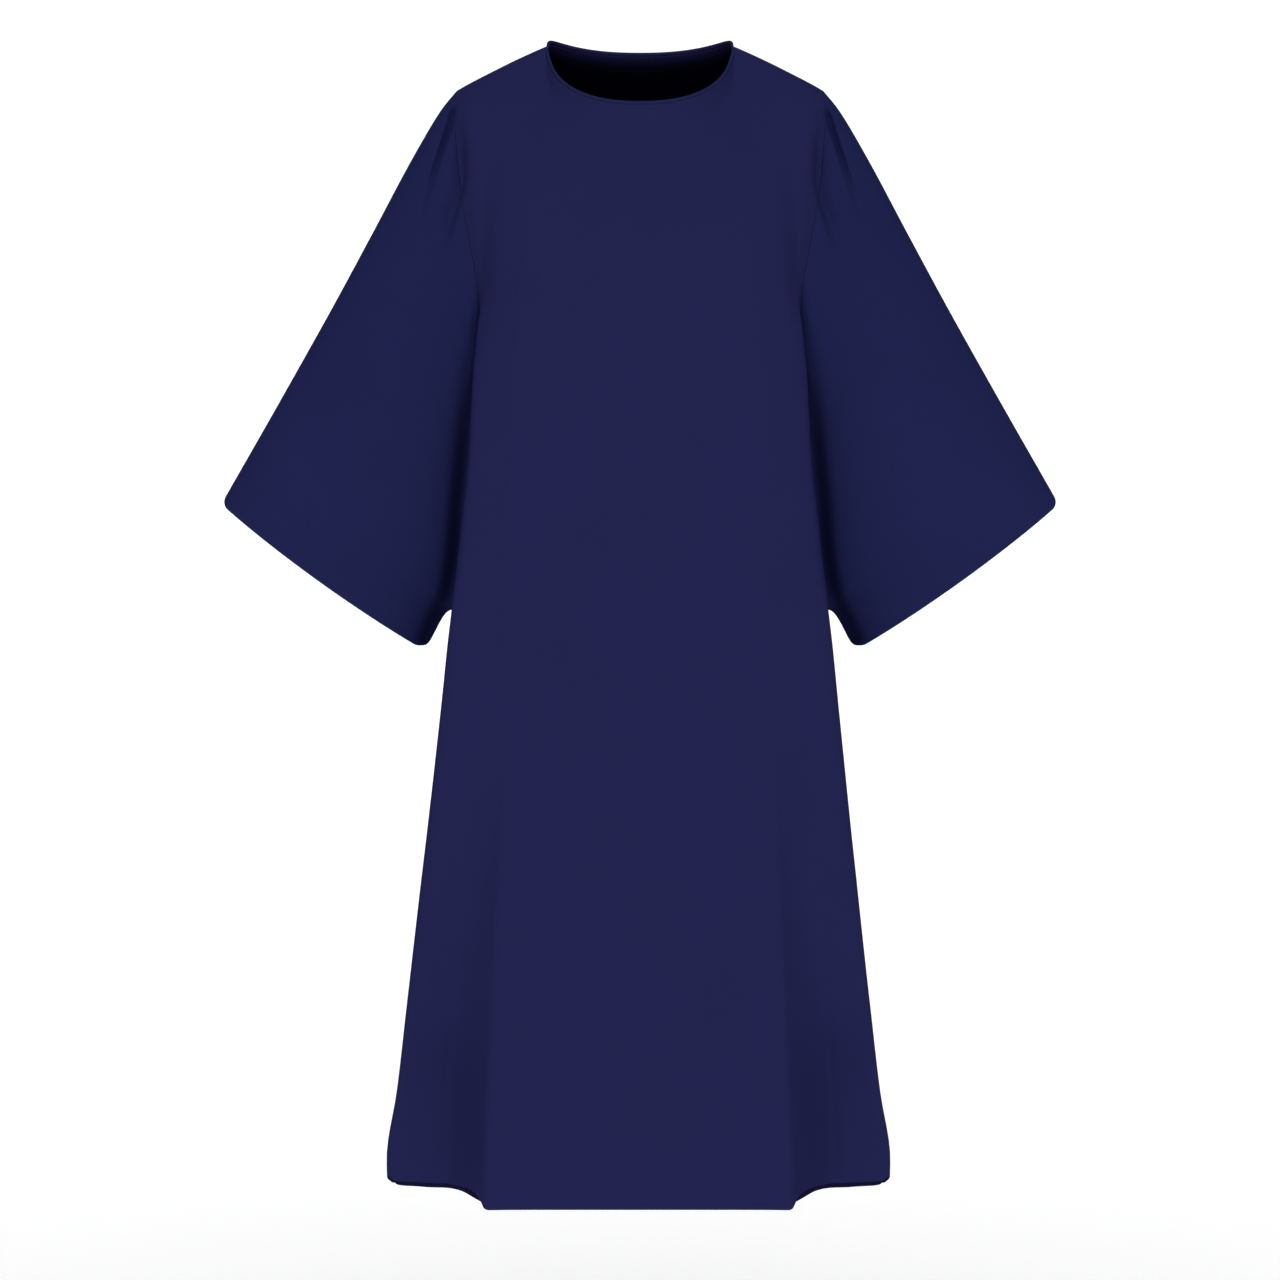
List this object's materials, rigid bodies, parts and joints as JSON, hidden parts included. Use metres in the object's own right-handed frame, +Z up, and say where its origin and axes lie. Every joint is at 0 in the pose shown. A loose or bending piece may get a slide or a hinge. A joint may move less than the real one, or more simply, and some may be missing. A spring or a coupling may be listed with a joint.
{
  "type": "dalmatic",
  "caption": "Plain dalmatic pulled on over the head, with wide sleeves and a skirt in cone folds, holding the hollow form a wearer gives it",
  "frame": {"origin": "Midway between the two shoulder seams, at the height where a wearer's shoulders carry the garment", "axes": "+Z up along the garment's height, -Y towards the front, +X towards the wearer's left"},
  "size_m": [0.9446, 0.3286, 1.3568],
  "materials": {
    "cloth": "smooth matte navy cloth, plainly woven",
    "binding": "the same navy cloth, cut as a narrow strip and rolled"
  },
  "bodies": {
    "root": {"front": "cloth", "back": "cloth", "sleeve_left": "cloth", "sleeve_right": "cloth", "neck_binding": "binding"}
  },
  "joints": []
}
